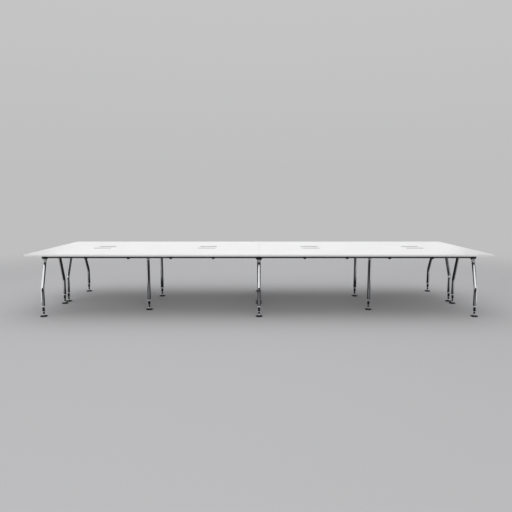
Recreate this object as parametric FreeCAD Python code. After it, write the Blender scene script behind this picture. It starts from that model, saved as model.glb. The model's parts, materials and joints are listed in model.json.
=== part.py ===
import FreeCAD, Part
import math
import os

V = FreeCAD.Vector
UP = V(0, 0, 1)
ALONG_X = V(1, 0, 0)
ALONG_Y = V(0, 1, 0)
FULL_TURN = 360

# Overall size of the bench desk, millimetres
# The origin is on the floor under the middle of the desk
# X runs along the desk, the viewer's side is -Y
desk_length = 5400.0
desk_depth = 1600.0
desk_height = 740.0

# Worktops
top_thickness = 22.0
top_corner_radius = 4.0
band_thickness = 2.0
band_edge_radius = 1.0
seam_gap = 1.2
dowel_radius = 4.0
dowel_length = 50.0
dowel_count = 5
dowel_row_share = 0.8

# Stations where legs stand
end_station_inset = 150.0
support_station_share = 0.537
outer_rail_inset = 205.0
inner_rail_y = 205.0

# Rails along the desk and beams across it
rail_height = 45.0
rail_width = 30.0
rail_wall = 2.5
beam_width = 50.0
beam_wall = 3.0
beam_cap = 3.0
profile_corner_radius = 4.0

# Leg tubes
tube_radius = 19.5
tube_wall = 2.0
leg_run = 144.0
kink_height = 330.0
bend_radius = 150.0
corner_turn_deg = 6.0
middle_turn_deg = -6.0

# Cast heads on the outer legs and flanged sockets on the others
head_width = 60.0
head_depth = 50.0
head_corner_radius = 6.0
head_cap = 6.0
prong_gap = 11.0
prong_gap_offset = 12.5
prong_gap_floor = 2.0
center_head_width = 40.0
center_fan_width = 84.0
head_reach = 15.0
center_head_reach = 26.0
socket_reach = 27.0
socket_wall = 2.8
spigot_length = 45.0
flange_length = 100.0
flange_thickness = 6.0
flange_screw_offset = 40.0
socket_depth = 56.0

# Chrome rings on the legs
neck_ring_height = 8.0
neck_ring_wall = 2.2
collar_radius = 21.0
collar_base = 113.0
collar_height = 14.0
collar_spigot = 24.0
collar_chamfer = 1.5

# Telescopic levelling feet
foot_radius = 41.0
foot_rim = 6.0
foot_height = 17.0
foot_bulge_share = 0.62
knob_radius = 13.0
knob_height = 13.0
shank_radius = 10.0
ring_radius = 15.0
ring_base = 58.0
ring_height = 4.0
stem_radius = 13.5
stem_top = 230.0
stem_chamfer = 2.0

# Clamps that hold the worktops on the outer rails
clamp_count = 4
first_clamp_share = 0.2137
last_clamp_share = 0.809
clamp_width = 26.0
clamp_wall = 4.0
clamp_base = 10.0
clamp_flange = 20.0
clamp_corner_radius = 4.0

# Fixing screws
screw_shank_radius = 2.0
screw_length = 16.0
screw_head_radius = 4.5
screw_head_height = 3.0
screw_head_crown = 1.2
screw_socket_radius = 1.7
screw_socket_depth = 1.6
hex_sides = 6

# Cable outlets with two lids each
places_per_side = 4
outlet_length = 228.0
outlet_depth = 266.0
outlet_wall = 4.0
outlet_corner_radius = 5.0
outlet_flange = 13.0
outlet_flange_thickness = 4.0
outlet_screw_inset = 30.0
spine_half_width = 8.6
spine_height = 14.0
spine_edge_radius = 1.5
pivot_y = 13.0
lid_reach = 93.0
lid_thickness = 8.0
lid_edge_radius = 1.2
lid_rib = 4.0
lid_skin = 3.0
lid_rib_count = 3
ledge_width = 5.0
ledge_height = 4.0
ledge_inset = 10.0
pin_radius = 1.5
pin_seat = 3.0
brush_depth = 31.0
brush_holder_depth = 5.0
brush_height = 8.0
brush_drop = 0.4
bristle_height = 3.0

# Cable trays under the outlets
tray_length_share = 0.71
tray_base_half_width = 150.0
tray_drop = 32.0
tray_sheet = 1.5
tray_screw_inset = 60.0
tray_slot_length = 60.0
tray_slot_width = 9.0
tray_slot_count = 6
tray_slot_row_share = 0.5

# Clearances, and how far a cut runs past the face it opens
fit = 0.3
lid_end_gap = 0.6
overrun = 5.0

# Levels and places worked out from the sizes above
rail_top = desk_height - top_thickness
rail_bottom = rail_top - rail_height
rail_middle = (rail_top + rail_bottom) / 2
outer_rail_y = desk_depth / 2 - outer_rail_inset
end_station_x = desk_length / 2 - end_station_inset
support_station_x = end_station_x * support_station_share
support_leg_y = (outer_rail_y + inner_rail_y) / 2
lean_angle = math.atan(leg_run / (rail_bottom - kink_height))
tube_inner_radius = tube_radius - tube_wall
tube_base = collar_base + collar_height
socket_radius = tube_radius + fit + socket_wall
knob_top = foot_height + knob_height
outlet_pitch = desk_length / places_per_side
outlet_xs = [outlet_pitch * (i + 0.5) - desk_length / 2 for i in range(places_per_side)]
pivot_z = desk_height - lid_thickness / 2
outlet_seat = rail_top - outlet_flange_thickness
tray_length = outlet_pitch * tray_length_share
stations = {"left": -end_station_x, "center": 0.0, "right": end_station_x}


def block(x0, x1, y0, y1, z0, z1):
    return Part.makeBox(x1 - x0, y1 - y0, z1 - z0, V(x0, y0, z0))


def rounded_rectangle(width, depth, radius, z):
    """Closed outline centred on the Z axis, made of four sides and four corner arcs."""
    half_x = width / 2
    half_y = depth / 2
    diagonal = radius * math.sqrt(0.5)
    edges = []
    for quarter in range(4):
        turn = FreeCAD.Rotation(UP, 90 * quarter)
        across, along = (half_x, half_y) if quarter % 2 == 0 else (half_y, half_x)
        side_start = V(across, radius - along, 0)
        side_end = V(across, along - radius, 0)
        corner = V(across - radius, along - radius, 0)
        arc_middle = corner + V(diagonal, diagonal, 0)
        arc_end = corner + V(0, radius, 0)
        lift = UP * z
        points = [turn.multVec(p) + lift for p in (side_start, side_end, arc_middle, arc_end)]
        edges.append(Part.makeLine(points[0], points[1]))
        edges.append(Part.Arc(points[1], points[2], points[3]).toShape())
    return Part.Wire(edges)


def slab(width, depth, radius, z0, z1):
    face = Part.Face(rounded_rectangle(width, depth, radius, z0))
    return face.extrude(UP * (z1 - z0))


def hollow_bar(width, wall, length):
    """Rectangular tube along +Z, its corners rounded inside and outside."""
    outer = slab(width, rail_height, profile_corner_radius, 0, length)
    return outer.cut(bar_bore(width, wall, length))


def bar_bore(width, wall, length):
    """The inside of such a tube."""
    return slab(width - 2 * wall, rail_height - 2 * wall, profile_corner_radius - wall / 2, 0, length)


def laid_along(bar, direction, start):
    """Lays a bar that was drawn along Z down on its direction, its height upright."""
    bar.rotate(V(), ALONG_X, -90)
    if direction == ALONG_X:
        bar.rotate(V(), UP, -90)
    bar.translate(start)
    return bar


def revolved(points):
    """Turned solid from a closed outline of (radius, height) points."""
    outline = [V(radius, 0, height) for radius, height in points]
    face = Part.Face(Part.makePolygon(outline + outline[:1]))
    return face.revolve(V(), UP, FULL_TURN)


def copies(shape, places):
    out = []
    for place in places:
        item = shape.copy()
        item.translate(place)
        out.append(item)
    return out


def write(name, solids):
    shape = solids[0] if len(solids) == 1 else Part.makeCompound(solids)
    shape.exportStep("parts/" + name + ".step")


class Leg:
    """One leg: where its axis meets the underside of the rails, which way it leans, where its tube starts."""

    def __init__(self, name, x, y, heading, lean, reach):
        self.name = name
        self.reach = reach
        self.joint = V(x, y, rail_bottom)
        self.lean = lean
        self.axis = heading * math.sin(self.lean) - UP * math.cos(self.lean)
        self.kink = self.at((rail_bottom - kink_height) / math.cos(self.lean))
        self.foot = V(self.kink.x, self.kink.y, 0)

    def at(self, distance):
        return self.joint + self.axis * distance

    def path(self):
        """Centre line from the mouth of the socket down to the collar."""
        seat = self.at(self.reach)
        base = V(self.foot.x, self.foot.y, tube_base)
        if self.lean == 0:
            return Part.Wire([Part.makeLine(seat, base)])
        tangent = bend_radius * math.tan(self.lean / 2)
        bend_start = self.kink - self.axis * tangent
        bend_end = self.kink - UP * tangent
        inward = (self.axis + UP) * -1
        inward.normalize()
        bend_middle = self.kink + inward * (bend_radius / math.cos(self.lean / 2) - bend_radius)
        return Part.Wire([
            Part.makeLine(seat, bend_start),
            Part.Arc(bend_start, bend_middle, bend_end).toShape(),
            Part.makeLine(bend_end, base),
        ])

    def swept(self, radius):
        ring = Part.Wire([Part.makeCircle(radius, self.at(self.reach), self.axis)])
        return self.path().makePipeShell([ring], True, False)

    def tube(self):
        return self.swept(tube_radius).cut(self.swept(tube_inner_radius))


def heading_of(x, toward_y, turn_deg):
    """Level direction from a leg's head to its foot, turned in towards the middle of the desk."""
    turn = math.radians(turn_deg)
    side = (x < 0) - (x > 0)
    if side == 0:
        return V(0, toward_y, 0)
    return V(side * math.sin(turn), toward_y * math.cos(turn), 0)


def outer_legs():
    legs = []
    for row, side in (("front", -1), ("back", 1)):
        for station, x in stations.items():
            heading = heading_of(x, side, corner_turn_deg)
            reach = center_head_reach if x == 0 else head_reach
            legs.append(Leg(row + "_" + station, x, side * outer_rail_y, heading, lean_angle, reach))
    return legs


def middle_legs():
    legs = []
    for row, side in (("mid_front", -1), ("mid_back", 1)):
        for station, x in stations.items():
            heading = heading_of(x, -side, middle_turn_deg)
            legs.append(Leg(row + "_" + station, x, side * inner_rail_y, heading, lean_angle, socket_reach))
    return legs


def support_legs():
    legs = []
    for row, side in (("front", -1), ("back", 1)):
        for station, hand in (("left", -1), ("right", 1)):
            name = "support_" + row + "_" + station
            legs.append(Leg(name, hand * support_station_x, side * support_leg_y, V(), 0, socket_reach))
    return legs


def mouth_outline(leg):
    """Round mouth of a socket, in eight arcs that face the eight edges of a rounded rectangle."""
    centre = leg.at(leg.reach)
    e1 = ALONG_X - leg.axis * ALONG_X.dot(leg.axis)
    e1.normalize()
    e2 = leg.axis.cross(e1) * -1

    def point(eighths):
        angle = math.radians(45 * eighths)
        return centre + e1 * (socket_radius * math.cos(angle)) + e2 * (socket_radius * math.sin(angle))

    arcs = [Part.Arc(point(i - 0.5), point(i), point(i + 0.5)).toShape() for i in range(8)]
    return Part.Wire(arcs)


def socket_cone(leg, width, depth, radius, z):
    """Fan that narrows from a rectangle at height z to the round mouth on the leaning axis."""
    base = rounded_rectangle(width, depth, radius, z)
    base.translate(V(leg.joint.x, leg.joint.y, 0))
    return Part.makeLoft([base, mouth_outline(leg)], True, True)


def spigot(leg):
    """Stub of a casting that the tube is pushed onto."""
    return Part.makeCylinder(tube_inner_radius - fit, spigot_length, leg.at(leg.reach), leg.axis)


def leg_head(leg, block_width, fan_width):
    """Cast head of an outer leg: a block between the rails on a fan that narrows down to the tube."""
    body = slab(block_width, head_depth, head_corner_radius, rail_bottom, rail_top)
    body.translate(V(leg.joint.x, leg.joint.y, 0))
    fan = socket_cone(leg, fan_width, head_depth, head_corner_radius, rail_bottom)
    return body.fuse(fan).fuse(spigot(leg)).removeSplitter()


def center_head(leg):
    """Head at the middle of the desk; its fan reaches under the ends of both rails."""
    return leg_head(leg, center_head_width, center_fan_width)


def end_head(leg):
    """Head at an end of the desk, cut into three prongs that stand up to the worktop."""
    body = leg_head(leg, head_width, head_width)
    gap_radius = prong_gap / 2
    gap_base = rail_bottom + prong_gap_floor + gap_radius
    reach = head_depth / 2 + overrun
    for hand in (-1, 1):
        x = leg.joint.x + hand * prong_gap_offset
        y = leg.joint.y - reach
        gap = block(x - gap_radius, x + gap_radius, y, y + 2 * reach, gap_base, rail_top - head_cap)
        floor = Part.makeCylinder(gap_radius, 2 * reach, V(x, y, gap_base), ALONG_Y)
        body = body.cut(gap.fuse(floor))
    return body.removeSplitter()


def flange_screw_seats(leg):
    z = rail_bottom - flange_thickness
    return [V(leg.joint.x, leg.joint.y + hand * flange_screw_offset, z) for hand in (-1, 1)]


def leg_socket(leg):
    """Socket with a long flange, screwed under a beam."""
    flange_base = rail_bottom - flange_thickness
    flange = slab(beam_width, flange_length, head_corner_radius, flange_base, rail_bottom)
    flange.translate(V(leg.joint.x, leg.joint.y, 0))
    cone = socket_cone(leg, beam_width, socket_depth, head_corner_radius, flange_base)
    body = flange.fuse(cone).fuse(spigot(leg))
    return bored(body, flange_screw_seats(leg))


def neck_ring(leg):
    mouth = leg.at(leg.reach)
    outer = Part.makeCylinder(tube_radius + neck_ring_wall, neck_ring_height, mouth, leg.axis)
    bore = Part.makeCylinder(tube_radius + fit, neck_ring_height, mouth, leg.axis)
    return outer.cut(bore)


def leg_collar():
    """Turned bush in the end of a tube; the stem of the foot slides in it."""
    bore = stem_radius + fit
    spigot = tube_inner_radius - fit
    low = collar_base
    high = tube_base
    return revolved([
        (bore, low), (collar_radius - collar_chamfer, low), (collar_radius, low + collar_chamfer),
        (collar_radius, high - collar_chamfer), (collar_radius - collar_chamfer, high),
        (spigot, high), (spigot, high + collar_spigot), (bore, high + collar_spigot)])


def foot_base():
    """Flared disc that stands on the floor."""
    rise = foot_height - foot_rim
    flare_mid = V(foot_radius * foot_bulge_share, 0, foot_rim + rise * foot_bulge_share)
    rim = V(foot_radius, 0, foot_rim)
    shoulder = V(knob_radius, 0, foot_height)
    edges = [
        Part.makeLine(V(), V(foot_radius, 0, 0)),
        Part.makeLine(V(foot_radius, 0, 0), rim),
        Part.Arc(rim, flare_mid, shoulder).toShape(),
        Part.makeLine(shoulder, V(0, 0, foot_height)),
        Part.makeLine(V(0, 0, foot_height), V()),
    ]
    return Part.Face(Part.Wire(edges)).revolve(V(), UP, FULL_TURN)


def foot_knob():
    """Rounded nut between the disc and the stem."""
    bottom = V(knob_radius, 0, foot_height)
    top = V(shank_radius, 0, knob_top)
    belly = V(knob_radius, 0, foot_height + knob_height * foot_bulge_share)
    edges = [
        Part.makeLine(V(0, 0, foot_height), bottom),
        Part.Arc(bottom, belly, top).toShape(),
        Part.makeLine(top, V(0, 0, knob_top)),
        Part.makeLine(V(0, 0, knob_top), V(0, 0, foot_height)),
    ]
    return Part.Face(Part.Wire(edges)).revolve(V(), UP, FULL_TURN)


def foot_solids():
    """Disc, nut, thin shank, ring and telescopic stem of one foot, stacked from the floor up."""
    ring_top = ring_base + ring_height
    shank = Part.makeCylinder(shank_radius, ring_base - knob_top, V(0, 0, knob_top))
    ring = Part.makeCylinder(ring_radius, ring_height, V(0, 0, ring_base))
    stem = revolved([
        (0, ring_top), (stem_radius, ring_top), (stem_radius, stem_top - stem_chamfer),
        (stem_radius - stem_chamfer, stem_top), (0, stem_top)])
    return [foot_base(), foot_knob(), shank, ring, stem]


def screw():
    """Round-headed screw with a hexagon socket, its seat at the origin and its point up."""
    head = revolved([
        (0, -screw_head_height), (screw_head_radius - screw_head_crown, -screw_head_height),
        (screw_head_radius, screw_head_crown - screw_head_height), (screw_head_radius, 0),
        (screw_shank_radius, 0), (screw_shank_radius, screw_length), (0, screw_length)])
    corners = []
    for side in range(hex_sides + 1):
        angle = 2 * math.pi * side / hex_sides
        corners.append(V(screw_socket_radius * math.cos(angle), screw_socket_radius * math.sin(angle),
                         -screw_head_height))
    drive = Part.Face(Part.makePolygon(corners)).extrude(UP * screw_socket_depth)
    return head.cut(drive)


def bored(shape, seats):
    """Opens the screw holes at the seats; each ends just past the point of its screw."""
    hole = Part.makeCylinder(screw_shank_radius + fit, screw_length + fit)
    return shape.cut(Part.makeCompound(copies(hole, seats)))


def clamp_places():
    step = (last_clamp_share - first_clamp_share) / (clamp_count - 1)
    xs = [end_station_x * (first_clamp_share + i * step) for i in range(clamp_count)]
    return [V(hand * x, side * outer_rail_y, 0) for side in (-1, 1) for hand in (-1, 1) for x in xs]


def clamp_screw_seats(place):
    offset = rail_width / 2 + clamp_wall + clamp_flange / 2
    z = rail_top - clamp_wall
    return [V(place.x, place.y + side * offset, z) for side in (-1, 1)]


def top_clamp():
    """Saddle that wraps a rail from below and screws to the worktop on both sides."""
    half_x = clamp_width / 2
    half_rail = rail_width / 2
    half_body = half_rail + clamp_wall
    half_all = half_body + clamp_flange
    base = rail_bottom - clamp_base
    body = block(-half_x, half_x, -half_body, half_body, base, rail_top)
    low_edges = [e for e in body.Edges if e.BoundBox.ZMax < rail_bottom and e.BoundBox.YLength < fit]
    body = body.makeFillet(clamp_corner_radius, low_edges)
    flanges = block(-half_x, half_x, -half_all, half_all, rail_top - clamp_wall, rail_top)
    channel = block(-half_x - overrun, half_x + overrun, -half_rail, half_rail,
                    rail_bottom, rail_top + overrun)
    saddle = body.fuse(flanges).cut(channel).removeSplitter()
    return bored(saddle, clamp_screw_seats(V()))


def outlet_screw_seats(x):
    reach_x = outlet_length / 2 - outlet_screw_inset
    reach_y = outlet_depth / 2 + outlet_wall + fit + (outlet_flange - outlet_wall) / 2
    return [V(x + i * reach_x, j * reach_y, outlet_seat) for i in (-1, 1) for j in (-1, 1)]


def outlet_frame():
    """Frame in the worktop's cut-out: walls, a flange below, a spine for the lids and their ledges."""
    wall_x = outlet_length + 2 * outlet_wall
    wall_y = outlet_depth + 2 * outlet_wall
    rim = 2 * outlet_flange
    corner = outlet_corner_radius
    flange = slab(outlet_length + rim, outlet_depth + rim, corner, outlet_seat, rail_top)
    walls = slab(wall_x, wall_y, corner, outlet_seat, desk_height)
    hollow = slab(outlet_length, outlet_depth, corner - outlet_wall / 2, outlet_seat, desk_height)
    body = flange.fuse(walls).cut(hollow)
    half_x = outlet_length / 2 + outlet_wall / 2
    spine = block(-half_x, half_x, -spine_half_width, spine_half_width,
                  desk_height - spine_height, desk_height)
    top_edges = [e for e in spine.Edges if e.BoundBox.ZMin > pivot_z and e.BoundBox.YLength < fit]
    body = body.fuse(spine.makeFillet(spine_edge_radius, top_edges))
    ledge_top = desk_height - lid_thickness - fit
    inner = outlet_length / 2 - ledge_width
    for i in (-1, 1):
        for j in (-1, 1):
            x0, x1 = sorted((i * inner, i * half_x))
            y0, y1 = sorted((j * (pivot_y + ledge_inset), j * (lid_reach - ledge_inset)))
            body = body.fuse(block(x0, x1, y0, y1, ledge_top - ledge_height, ledge_top))
    return bored(body.cut(pin_seats()).removeSplitter(), outlet_screw_seats(0))


def pin_rod(radius, length, side):
    return Part.makeCylinder(radius, length, V(-length / 2, side * pivot_y, pivot_z), ALONG_X)


def pin_seats():
    """Blind holes in the end walls that carry both hinge pins."""
    length = outlet_length + 2 * pin_seat
    return pin_rod(pin_radius + fit, length, -1).fuse(pin_rod(pin_radius + fit, length, 1))


def hinge_pins():
    length = outlet_length + 2 * pin_seat
    return [pin_rod(pin_radius, length, side) for side in (-1, 1)]


def lid():
    """Back lid at rest: rolled round its pin at the spine, a thin skin on ribs below."""
    half_x = outlet_length / 2 - lid_end_gap
    barrel_radius = lid_thickness / 2
    plate_base = desk_height - lid_thickness
    plate = block(-half_x, half_x, pivot_y, lid_reach, plate_base, desk_height)
    free_edges = [e for e in plate.Edges if e.BoundBox.YMin > pivot_y and e.BoundBox.YLength < fit]
    plate = plate.makeFillet(lid_edge_radius, free_edges)
    barrel = Part.makeCylinder(barrel_radius, 2 * half_x, V(-half_x, pivot_y, pivot_z), ALONG_X)
    body = plate.fuse(barrel)
    inner = half_x - ledge_width - lid_rib
    cell = 2 * inner / (lid_rib_count + 1)
    near = pivot_y + barrel_radius + lid_rib
    for i in range(lid_rib_count + 1):
        x0 = -inner + i * cell + lid_rib / 2
        x1 = x0 + cell - lid_rib
        pocket = block(x0, x1, near, lid_reach - lid_rib, plate_base - overrun, desk_height - lid_skin)
        body = body.cut(pocket)
    bore = pin_rod(pin_radius + fit, outlet_length, 1)
    return body.cut(bore).removeSplitter()


def turned_half(shape, side):
    """The same shape for the back (side 1) or turned half round for the front (side -1)."""
    item = shape.copy()
    if side < 0:
        item.rotate(V(), UP, FULL_TURN / 2)
    return item


def brush_strip():
    """Brush along the user's edge of an outlet: a holder with a row of bristles from its top."""
    half_x = outlet_length / 2 - outlet_corner_radius
    back = outlet_depth / 2
    z1 = desk_height - brush_drop
    holder = block(-half_x, half_x, back - brush_holder_depth, back, z1 - brush_height, z1)
    bristles = block(-half_x, half_x, back - brush_depth, back - brush_holder_depth,
                     z1 - bristle_height, z1)
    return holder.fuse(bristles)


def dowel_places():
    reach = desk_depth / 2 * dowel_row_share
    step = 2 * reach / (dowel_count - 1)
    z = desk_height - top_thickness / 2
    return [V(0, i * step - reach, z) for i in range(dowel_count)]


def dowel(radius, length):
    return Part.makeCylinder(radius, length, V(-length / 2, 0, 0), ALONG_X)


def half_desk(hand):
    """Space on one side of the seam, used to part the two worktops."""
    near = seam_gap / 2
    far = desk_length / 2 + overrun
    x0, x1 = sorted((hand * near, hand * far))
    reach = desk_depth / 2 + overrun
    return block(x0, x1, -reach, reach, rail_top - overrun, desk_height + overrun)


def worktop(hand):
    board = slab(desk_length - 2 * band_thickness, desk_depth - 2 * band_thickness,
                 top_corner_radius - band_thickness, rail_top, desk_height).common(half_desk(hand))
    wall = 2 * (outlet_wall + fit)
    hole = slab(outlet_length + wall, outlet_depth + wall, outlet_corner_radius + fit,
                rail_top - overrun, desk_height + overrun)
    xs = [x for x in outlet_xs if x * hand > 0]
    holes = copies(hole, [V(x, 0, 0) for x in xs])
    holes += copies(dowel(dowel_radius + fit, dowel_length + 2 * fit), dowel_places())
    seats = [seat for x in xs for seat in outlet_screw_seats(x)]
    for place in clamp_places():
        if place.x * hand > 0:
            seats += clamp_screw_seats(place)
    return bored(board.cut(Part.makeCompound(holes)), seats)


def edge_band(hand):
    """Strip glued round the three outer sides of one worktop."""
    outer = slab(desk_length, desk_depth, top_corner_radius, rail_top, desk_height)
    rims = [e for e in outer.Edges if e.BoundBox.ZLength < fit]
    outer = outer.makeFillet(band_edge_radius, rims)
    inner = slab(desk_length - 2 * band_thickness, desk_depth - 2 * band_thickness,
                 top_corner_radius - band_thickness, rail_top - overrun, desk_height + overrun)
    return outer.cut(inner).common(half_desk(hand))


def long_rail(hand, y, gap_at_middle, gap_at_end):
    x0, x1 = sorted((hand * gap_at_middle, hand * (end_station_x - gap_at_end)))
    bar = hollow_bar(rail_width, rail_wall, x1 - x0)
    return laid_along(bar, ALONG_X, V(x0, y, rail_middle))


def outer_rail(side):
    """Two spans between the cast heads."""
    near = center_head_width / 2
    far = head_width / 2
    return [long_rail(hand, side * outer_rail_y, near, far) for hand in (-1, 1)]


def inner_rail(side):
    """Two spans between the cross beams; they also carry the cable trays."""
    gap = beam_width / 2
    seats = [seat for x in outlet_xs for seat in tray_screw_seats(x)]
    return [bored(long_rail(hand, side * inner_rail_y, gap, gap), seats) for hand in (-1, 1)]


def cross_bar(x, y0, y1):
    bar = hollow_bar(beam_width, beam_wall, y1 - y0)
    return laid_along(bar, ALONG_Y, V(x, y0, rail_middle))


def cross_beam(x, legs):
    """Beam from the front head to the back head of one station, with a cap in each open end."""
    reach = outer_rail_y - head_depth / 2
    seats = [seat for leg in legs for seat in flange_screw_seats(leg)]
    caps = [laid_along(bar_bore(beam_width, beam_wall, beam_cap), ALONG_Y, V(x, y, rail_middle))
            for y in (-reach, reach - beam_cap)]
    return [bored(cross_bar(x, -reach, reach), seats)] + caps


def support_beam(leg):
    """Short beam between two rails, over a straight leg."""
    near = inner_rail_y + rail_width / 2
    far = outer_rail_y - rail_width / 2
    y0, y1 = (near, far) if leg.joint.y > 0 else (-far, -near)
    return bored(cross_bar(leg.joint.x, y0, y1), flange_screw_seats(leg))


def tray_screw_seats(x):
    reach = tray_length / 2 - tray_screw_inset
    z = rail_bottom - tray_sheet
    return [V(x + i * reach, j * inner_rail_y, z) for i in (-1, 1) for j in (-1, 1)]


def cable_tray(x):
    """Folded sheet tray hung under the inner rails, with slots for cable ties in its floor."""
    half_rail = rail_width / 2
    outer = inner_rail_y + half_rail
    fold = inner_rail_y - half_rail
    flange_base = rail_bottom - tray_sheet
    floor_top = rail_bottom - tray_drop
    floor_base = floor_top - tray_sheet
    half = tray_base_half_width
    right = [(half, floor_base), (fold + tray_sheet, flange_base), (outer, flange_base),
             (outer, rail_bottom), (fold, rail_bottom), (half - tray_sheet, floor_top)]
    left = [(-y, z) for y, z in reversed(right)]
    outline = [V(0, y, z) for y, z in right + left]
    tray = Part.Face(Part.makePolygon(outline + outline[:1])).extrude(ALONG_X * tray_length)
    tray.translate(ALONG_X * (-tray_length / 2))
    slot = slab(tray_slot_length, tray_slot_width, tray_slot_width / 2 - fit,
                floor_base - overrun, floor_top + overrun)
    pitch = tray_length / tray_slot_count
    row = half * tray_slot_row_share
    places = []
    for i in range(tray_slot_count):
        for j in (-1, 1):
            places.append(V((i + 0.5) * pitch - tray_length / 2, j * row, 0))
    tray = tray.cut(Part.makeCompound(copies(slot, places)))
    tray = bored(tray, tray_screw_seats(0))
    tray.translate(V(x, 0, 0))
    return tray


def outlet_name(index):
    return ("left_outer", "left_inner", "right_inner", "right_outer")[index]


def main():
    os.makedirs("parts", exist_ok=True)
    outer = outer_legs()
    middle = middle_legs()
    support = support_legs()
    legs = outer + middle + support
    feet = [leg.foot for leg in legs]

    write("top_left", [worktop(-1)])
    write("top_right", [worktop(1)])
    write("edge_bands", [edge_band(-1), edge_band(1)])
    write("seam_dowels", copies(dowel(dowel_radius, dowel_length), dowel_places()))

    write("rail_front", outer_rail(-1))
    write("rail_back", outer_rail(1))
    write("inner_rail_front", inner_rail(-1))
    write("inner_rail_back", inner_rail(1))
    beams = [cross_beam(x, [leg for leg in middle if leg.joint.x == x]) for x in stations.values()]
    write("cross_beams", [solid for beam in beams for solid in beam])
    write("support_beams", [support_beam(leg) for leg in support])

    write("leg_heads", [center_head(leg) if leg.joint.x == 0 else end_head(leg) for leg in outer])
    write("leg_sockets", [leg_socket(leg) for leg in middle + support])
    write("leg_collars", copies(leg_collar(), feet) + [neck_ring(leg) for leg in legs])
    for leg in legs:
        write("leg_" + leg.name, [leg.tube()])
        write("foot_" + leg.name, copies(Part.makeCompound(foot_solids()), [leg.foot])[0].Solids)

    write("top_clamps", copies(top_clamp(), clamp_places()))
    write("cable_trays", [cable_tray(x) for x in outlet_xs])

    places = [V(x, 0, 0) for x in outlet_xs]
    write("outlet_frames", copies(outlet_frame(), places))
    write("hinge_pins", [pin for rod in hinge_pins() for pin in copies(rod, places)])
    brushes = [turned_half(brush_strip(), side) for side in (-1, 1)]
    write("brush_strips", [strip for brush in brushes for strip in copies(brush, places)])
    for row, side in (("front", -1), ("back", 1)):
        for index, item in enumerate(copies(turned_half(lid(), side), places)):
            write("lid_" + row + "_" + outlet_name(index), [item])

    seats = [seat for place in clamp_places() for seat in clamp_screw_seats(place)]
    seats += [seat for x in outlet_xs for seat in outlet_screw_seats(x) + tray_screw_seats(x)]
    seats += [seat for leg in middle + support for seat in flange_screw_seats(leg)]
    write("fixing_screws", copies(screw(), seats))


main()
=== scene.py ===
import json
import math

import bmesh
import bpy
from bpy.props import FloatProperty, FloatVectorProperty, IntProperty, PointerProperty
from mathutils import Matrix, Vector


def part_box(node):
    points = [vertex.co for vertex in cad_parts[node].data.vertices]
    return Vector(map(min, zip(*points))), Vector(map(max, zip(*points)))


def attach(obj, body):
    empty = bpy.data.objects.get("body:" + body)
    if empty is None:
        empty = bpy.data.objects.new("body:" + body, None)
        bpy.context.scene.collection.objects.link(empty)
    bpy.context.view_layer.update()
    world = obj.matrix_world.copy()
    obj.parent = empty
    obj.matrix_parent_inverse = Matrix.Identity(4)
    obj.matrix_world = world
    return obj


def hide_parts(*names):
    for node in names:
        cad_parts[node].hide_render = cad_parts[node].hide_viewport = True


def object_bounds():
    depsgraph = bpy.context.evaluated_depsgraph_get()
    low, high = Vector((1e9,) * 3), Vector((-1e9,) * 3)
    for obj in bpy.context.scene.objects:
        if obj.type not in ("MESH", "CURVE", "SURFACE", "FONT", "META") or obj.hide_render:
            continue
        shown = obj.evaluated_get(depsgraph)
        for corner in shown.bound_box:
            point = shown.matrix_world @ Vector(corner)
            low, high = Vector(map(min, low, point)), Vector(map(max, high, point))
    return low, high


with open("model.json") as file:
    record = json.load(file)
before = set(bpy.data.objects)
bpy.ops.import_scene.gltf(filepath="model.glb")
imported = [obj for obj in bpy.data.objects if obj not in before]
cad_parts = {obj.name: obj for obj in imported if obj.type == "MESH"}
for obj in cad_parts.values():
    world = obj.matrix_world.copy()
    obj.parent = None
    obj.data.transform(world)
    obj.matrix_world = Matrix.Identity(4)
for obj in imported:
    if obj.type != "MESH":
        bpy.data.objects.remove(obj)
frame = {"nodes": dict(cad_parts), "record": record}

bl_info = {
    "name": "Bench desk",
    "version": (1, 0, 0),
    "blender": (4, 5, 0),
    "location": "3D View > Sidebar > Bench desk",
    "description": "Finishes, cable brushes and stage for a double-sided bench desk",
    "category": "Object",
}

CAD_BOX = [list(corner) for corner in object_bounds()]
NODES = frame["nodes"]
MILLIMETRE = 0.001

# A noise rarely leaves this span, so finishes stretch it
NOISE_LOW = 0.32
NOISE_HIGH = 0.68

# Bristles: how deep in the holder they start, and how thick their tips are beside their roots
ROOT_SHARE = 0.8
TIP_SHARE = 0.6

# Facets of round shapes
BRISTLE_SIDES = 5
HOLDER_ROUND_STEPS = 3
FLOOR_SIDES = 96


def colour_of(slot):
    """Colour that the record gives to a material slot."""
    for material in frame["record"]["materials"]:
        if material["slot"] == slot:
            return material["base_color"]
    raise ValueError("no material slot named " + slot)


def colour(name, description, value):
    return FloatVectorProperty(
        name=name, description=description, default=value, size=3, min=0.0, max=1.0, subtype="COLOR")


def length(name, description, value):
    return FloatProperty(
        name=name, description=description, default=value, precision=5,
        unit="LENGTH", subtype="DISTANCE")


def place(name, description, value):
    return FloatVectorProperty(
        name=name, description=description, default=value, size=3,
        unit="LENGTH", subtype="TRANSLATION")


def span(name, description, value):
    return FloatVectorProperty(
        name=name, description=description, default=value, size=2, unit="LENGTH")


def angle(name, description, value):
    return FloatProperty(
        name=name, description=description, default=value, unit="ROTATION", subtype="ANGLE")


def power(name, description, value):
    return FloatProperty(name=name, description=description, default=value, min=0.0, unit="POWER")


def share(name, description, value):
    return FloatProperty(
        name=name, description=description, default=value, min=0.0, max=1.0, subtype="FACTOR")


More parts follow.
